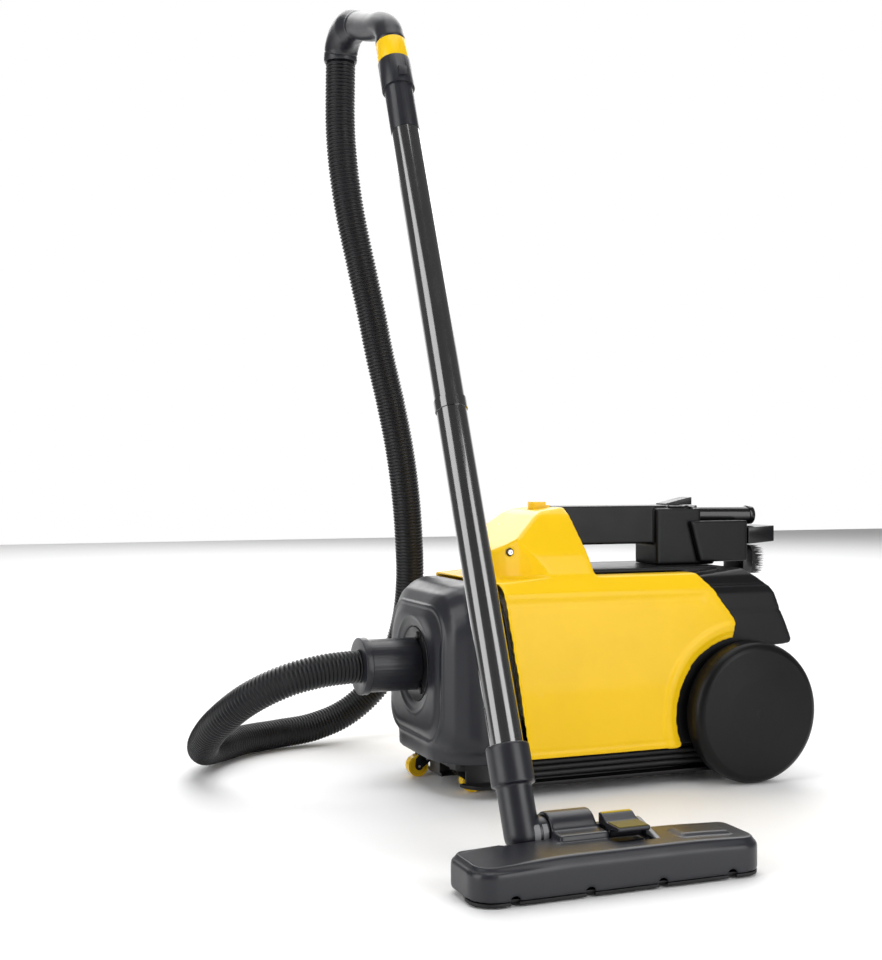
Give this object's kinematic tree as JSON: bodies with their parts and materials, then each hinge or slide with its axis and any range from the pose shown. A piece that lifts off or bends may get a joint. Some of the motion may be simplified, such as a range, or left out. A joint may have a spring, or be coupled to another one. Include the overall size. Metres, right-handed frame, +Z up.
{
  "type": "canister vacuum cleaner",
  "caption": "Wheeled canister vacuum cleaner with yellow shell, grey front door, carry grip, tools on board, ribbed hose, two-piece wand and brush floor head",
  "frame": {"origin": "On the floor, at the centre of the bounding box's bottom (the free hose left out of the box).", "axes": "+Z is up. The canister's front and its hose inlet face -Y and its wheels' axle runs along X. The wand and the floor head stand on the +X side, and the wand leans towards -X."},
  "size_m": [0.7651, 0.732, 0.9625],
  "materials": {
    "black_moulding": "fine moulded grain, slightly worn on the edges",
    "yellow_gloss": "polished injection moulding",
    "charcoal_satin": "satin moulded grain",
    "inlet_black": "smooth satin",
    "wheel_black": "smooth satin with scuffs",
    "steel": "turned and drawn steel",
    "zinc_sheet": "plated sheet",
    "fan_aluminium": "pressed sheet",
    "copper_winding": "enamelled copper wire",
    "carbon": "pressed carbon",
    "soft_rubber": "soft moulded rubber",
    "bag_paper": "crepe filter paper",
    "bag_card": "pressed board",
    "filter_foam": "open foam",
    "tool_gloss": "gloss moulding",
    "bristle": "nylon bristle",
    "lint_cloth": "napped cloth",
    "hose_vinyl": "ribbed soft vinyl",
    "wand_lacquer": "gloss black lacquer on steel tube"
  },
  "bodies": {
    "canister": {"lower_housing": "black_moulding", "rear_housing": "black_moulding", "carry_grip": "black_moulding", "tool_caddy": "black_moulding", "exhaust_grille": "black_moulding", "head_sole": "black_moulding", "main_shell": "yellow_gloss", "head_shell": "charcoal_satin", "filter_grille": "inlet_black", "switch_body": "inlet_black", "shell_screws": "steel", "door_hinge_pins": "steel", "latch_spring": "steel", "rear_axle": "steel", "axle_clips": "steel", "pedal_pin": "steel", "bearings": "steel", "fan_shroud": "zinc_sheet", "motor_frame": "zinc_sheet", "stator": "copper_winding", "carbon_brushes": "carbon", "door_seal": "soft_rubber", "motor_mounts": "soft_rubber", "head_bumper": "soft_rubber", "cord_gland": "soft_rubber", "plug": "soft_rubber", "power_cord": "soft_rubber", "dust_bag": "bag_paper", "bag_collar": "bag_card", "motor_filter": "filter_foam", "exhaust_filter": "filter_foam", "lint_strips": "lint_cloth", "hose": "hose_vinyl"},
    "front_door": {"front_door": "charcoal_satin", "inlet_ring": "inlet_black"},
    "hose_cuff": {"hose_cuff": "charcoal_satin"},
    "door_latch": {"door_latch": "yellow_gloss"},
    "power_switch": {"power_switch": "inlet_black"},
    "wheel_left": {"wheel_left": "wheel_black"},
    "wheel_right": {"wheel_right": "wheel_black"},
    "castor_left": {"castor_fork_left": "black_moulding", "castor_pin_left": "steel"},
    "castor_right": {"castor_fork_right": "black_moulding", "castor_pin_right": "steel"},
    "castor_roller_left": {"castor_wheel_left": "yellow_gloss"},
    "castor_roller_right": {"castor_wheel_right": "yellow_gloss"},
    "rotor": {"armature": "copper_winding", "fan": "fan_aluminium"},
    "crevice_tool": {"crevice_tool": "tool_gloss"},
    "upholstery_nozzle": {"upholstery_nozzle": "tool_gloss"},
    "dusting_brush": {"dusting_brush": "tool_gloss", "brush_bristles": "bristle"},
    "wand": {"neck_elbow": "charcoal_satin", "lower_wand": "wand_lacquer", "upper_wand": "wand_lacquer", "handle_nose": "charcoal_satin", "hose_grip": "charcoal_satin"},
    "suction_ring": {"suction_ring": "yellow_gloss"},
    "pedal": {"pedal": "charcoal_satin"},
    "floor_brushes": {"floor_brushes": "bristle"}
  },
  "joints": [
    {"name": "door_hinge", "type": "hinge", "parent": "canister", "child": "front_door", "pos_m": [-0.1265, -0.17575, 0.042], "axis": [1, 0, 0], "range_deg": [0, 28], "deforming": ["hose"]},
    {"name": "cuff_swivel", "type": "hinge", "parent": "front_door", "child": "hose_cuff", "pos_m": [-0.1265, -0.19175, 0.146], "axis": [0, 1, 0], "continuous": true, "deforming": ["hose"]},
    {"name": "latch_press", "type": "slide", "parent": "canister", "child": "door_latch", "axis": [0, 0, -1], "range_m": [0, 0.004], "stiffness_N_per_m": 1200, "springref_m": -0.002, "deforming": ["latch_spring"]},
    {"name": "switch_rock", "type": "hinge", "parent": "canister", "child": "power_switch", "pos_m": [-0.1265, 0.17025, 0.333], "axis": [-1, 0, 0], "range_deg": [0, 4.5]},
    {"name": "wheel_left_spin", "type": "hinge", "parent": "canister", "child": "wheel_left", "pos_m": [-0.2615, 0.20025, 0.085], "axis": [1, 0, 0], "continuous": true},
    {"name": "wheel_right_spin", "type": "hinge", "parent": "canister", "child": "wheel_right", "pos_m": [0.0085, 0.20025, 0.085], "axis": [1, 0, 0], "continuous": true},
    {"name": "castor_left_swivel", "type": "hinge", "parent": "canister", "child": "castor_left", "pos_m": [-0.1765, -0.14875, 0.035], "axis": [0, 0, 1], "continuous": true},
    {"name": "castor_right_swivel", "type": "hinge", "parent": "canister", "child": "castor_right", "pos_m": [-0.0765, -0.14875, 0.035], "axis": [0, 0, 1], "continuous": true},
    {"name": "castor_left_spin", "type": "hinge", "parent": "castor_left", "child": "castor_roller_left", "pos_m": [-0.1765, -0.16375, 0.013], "axis": [1, 0, 0], "continuous": true},
    {"name": "castor_right_spin", "type": "hinge", "parent": "castor_right", "child": "castor_roller_right", "pos_m": [-0.0765, -0.13375, 0.013], "axis": [1, 0, 0], "continuous": true},
    {"name": "motor_spin", "type": "hinge", "parent": "canister", "child": "rotor", "pos_m": [-0.1265, 0.12825, 0.15], "axis": [0, 1, 0], "continuous": true},
    {"name": "crevice_tool_pull", "type": "slide", "parent": "canister", "child": "crevice_tool", "axis": [0, 1, 0], "range_m": [0, 0.15]},
    {"name": "upholstery_nozzle_pull", "type": "slide", "parent": "canister", "child": "upholstery_nozzle", "axis": [0, 1, 0], "range_m": [0, 0.05]},
    {"name": "dusting_brush_pull", "type": "slide", "parent": "canister", "child": "dusting_brush", "axis": [0, 1, 0], "range_m": [0, 0.052]},
    {"name": "wand_tilt", "type": "hinge", "parent": "canister", "child": "wand", "pos_m": [0.2515, -0.22025, 0.038], "axis": [0, 1, 0], "range_deg": [-30, 23], "deforming": ["hose"]},
    {"name": "suction_ring_turn", "type": "hinge", "parent": "wand", "child": "suction_ring", "pos_m": [-0.10658, -0.22025, 0.86152], "axis": [-0.3987, 0, 0.9171], "range_deg": [-130, 0]},
    {"name": "pedal_rock", "type": "hinge", "parent": "canister", "child": "pedal", "pos_m": [0.2805, -0.12925, 0.04], "axis": [0, 1, 0], "range_deg": [0, 8]},
    {"name": "brush_lift", "type": "slide", "parent": "canister", "child": "floor_brushes", "axis": [0, 0, 1], "range_m": [0, 0.004]}
  ],
  "couplings": [
    {"joint": "brush_lift", "follows": "pedal_rock", "m_per_rad": 0.028648}
  ]
}
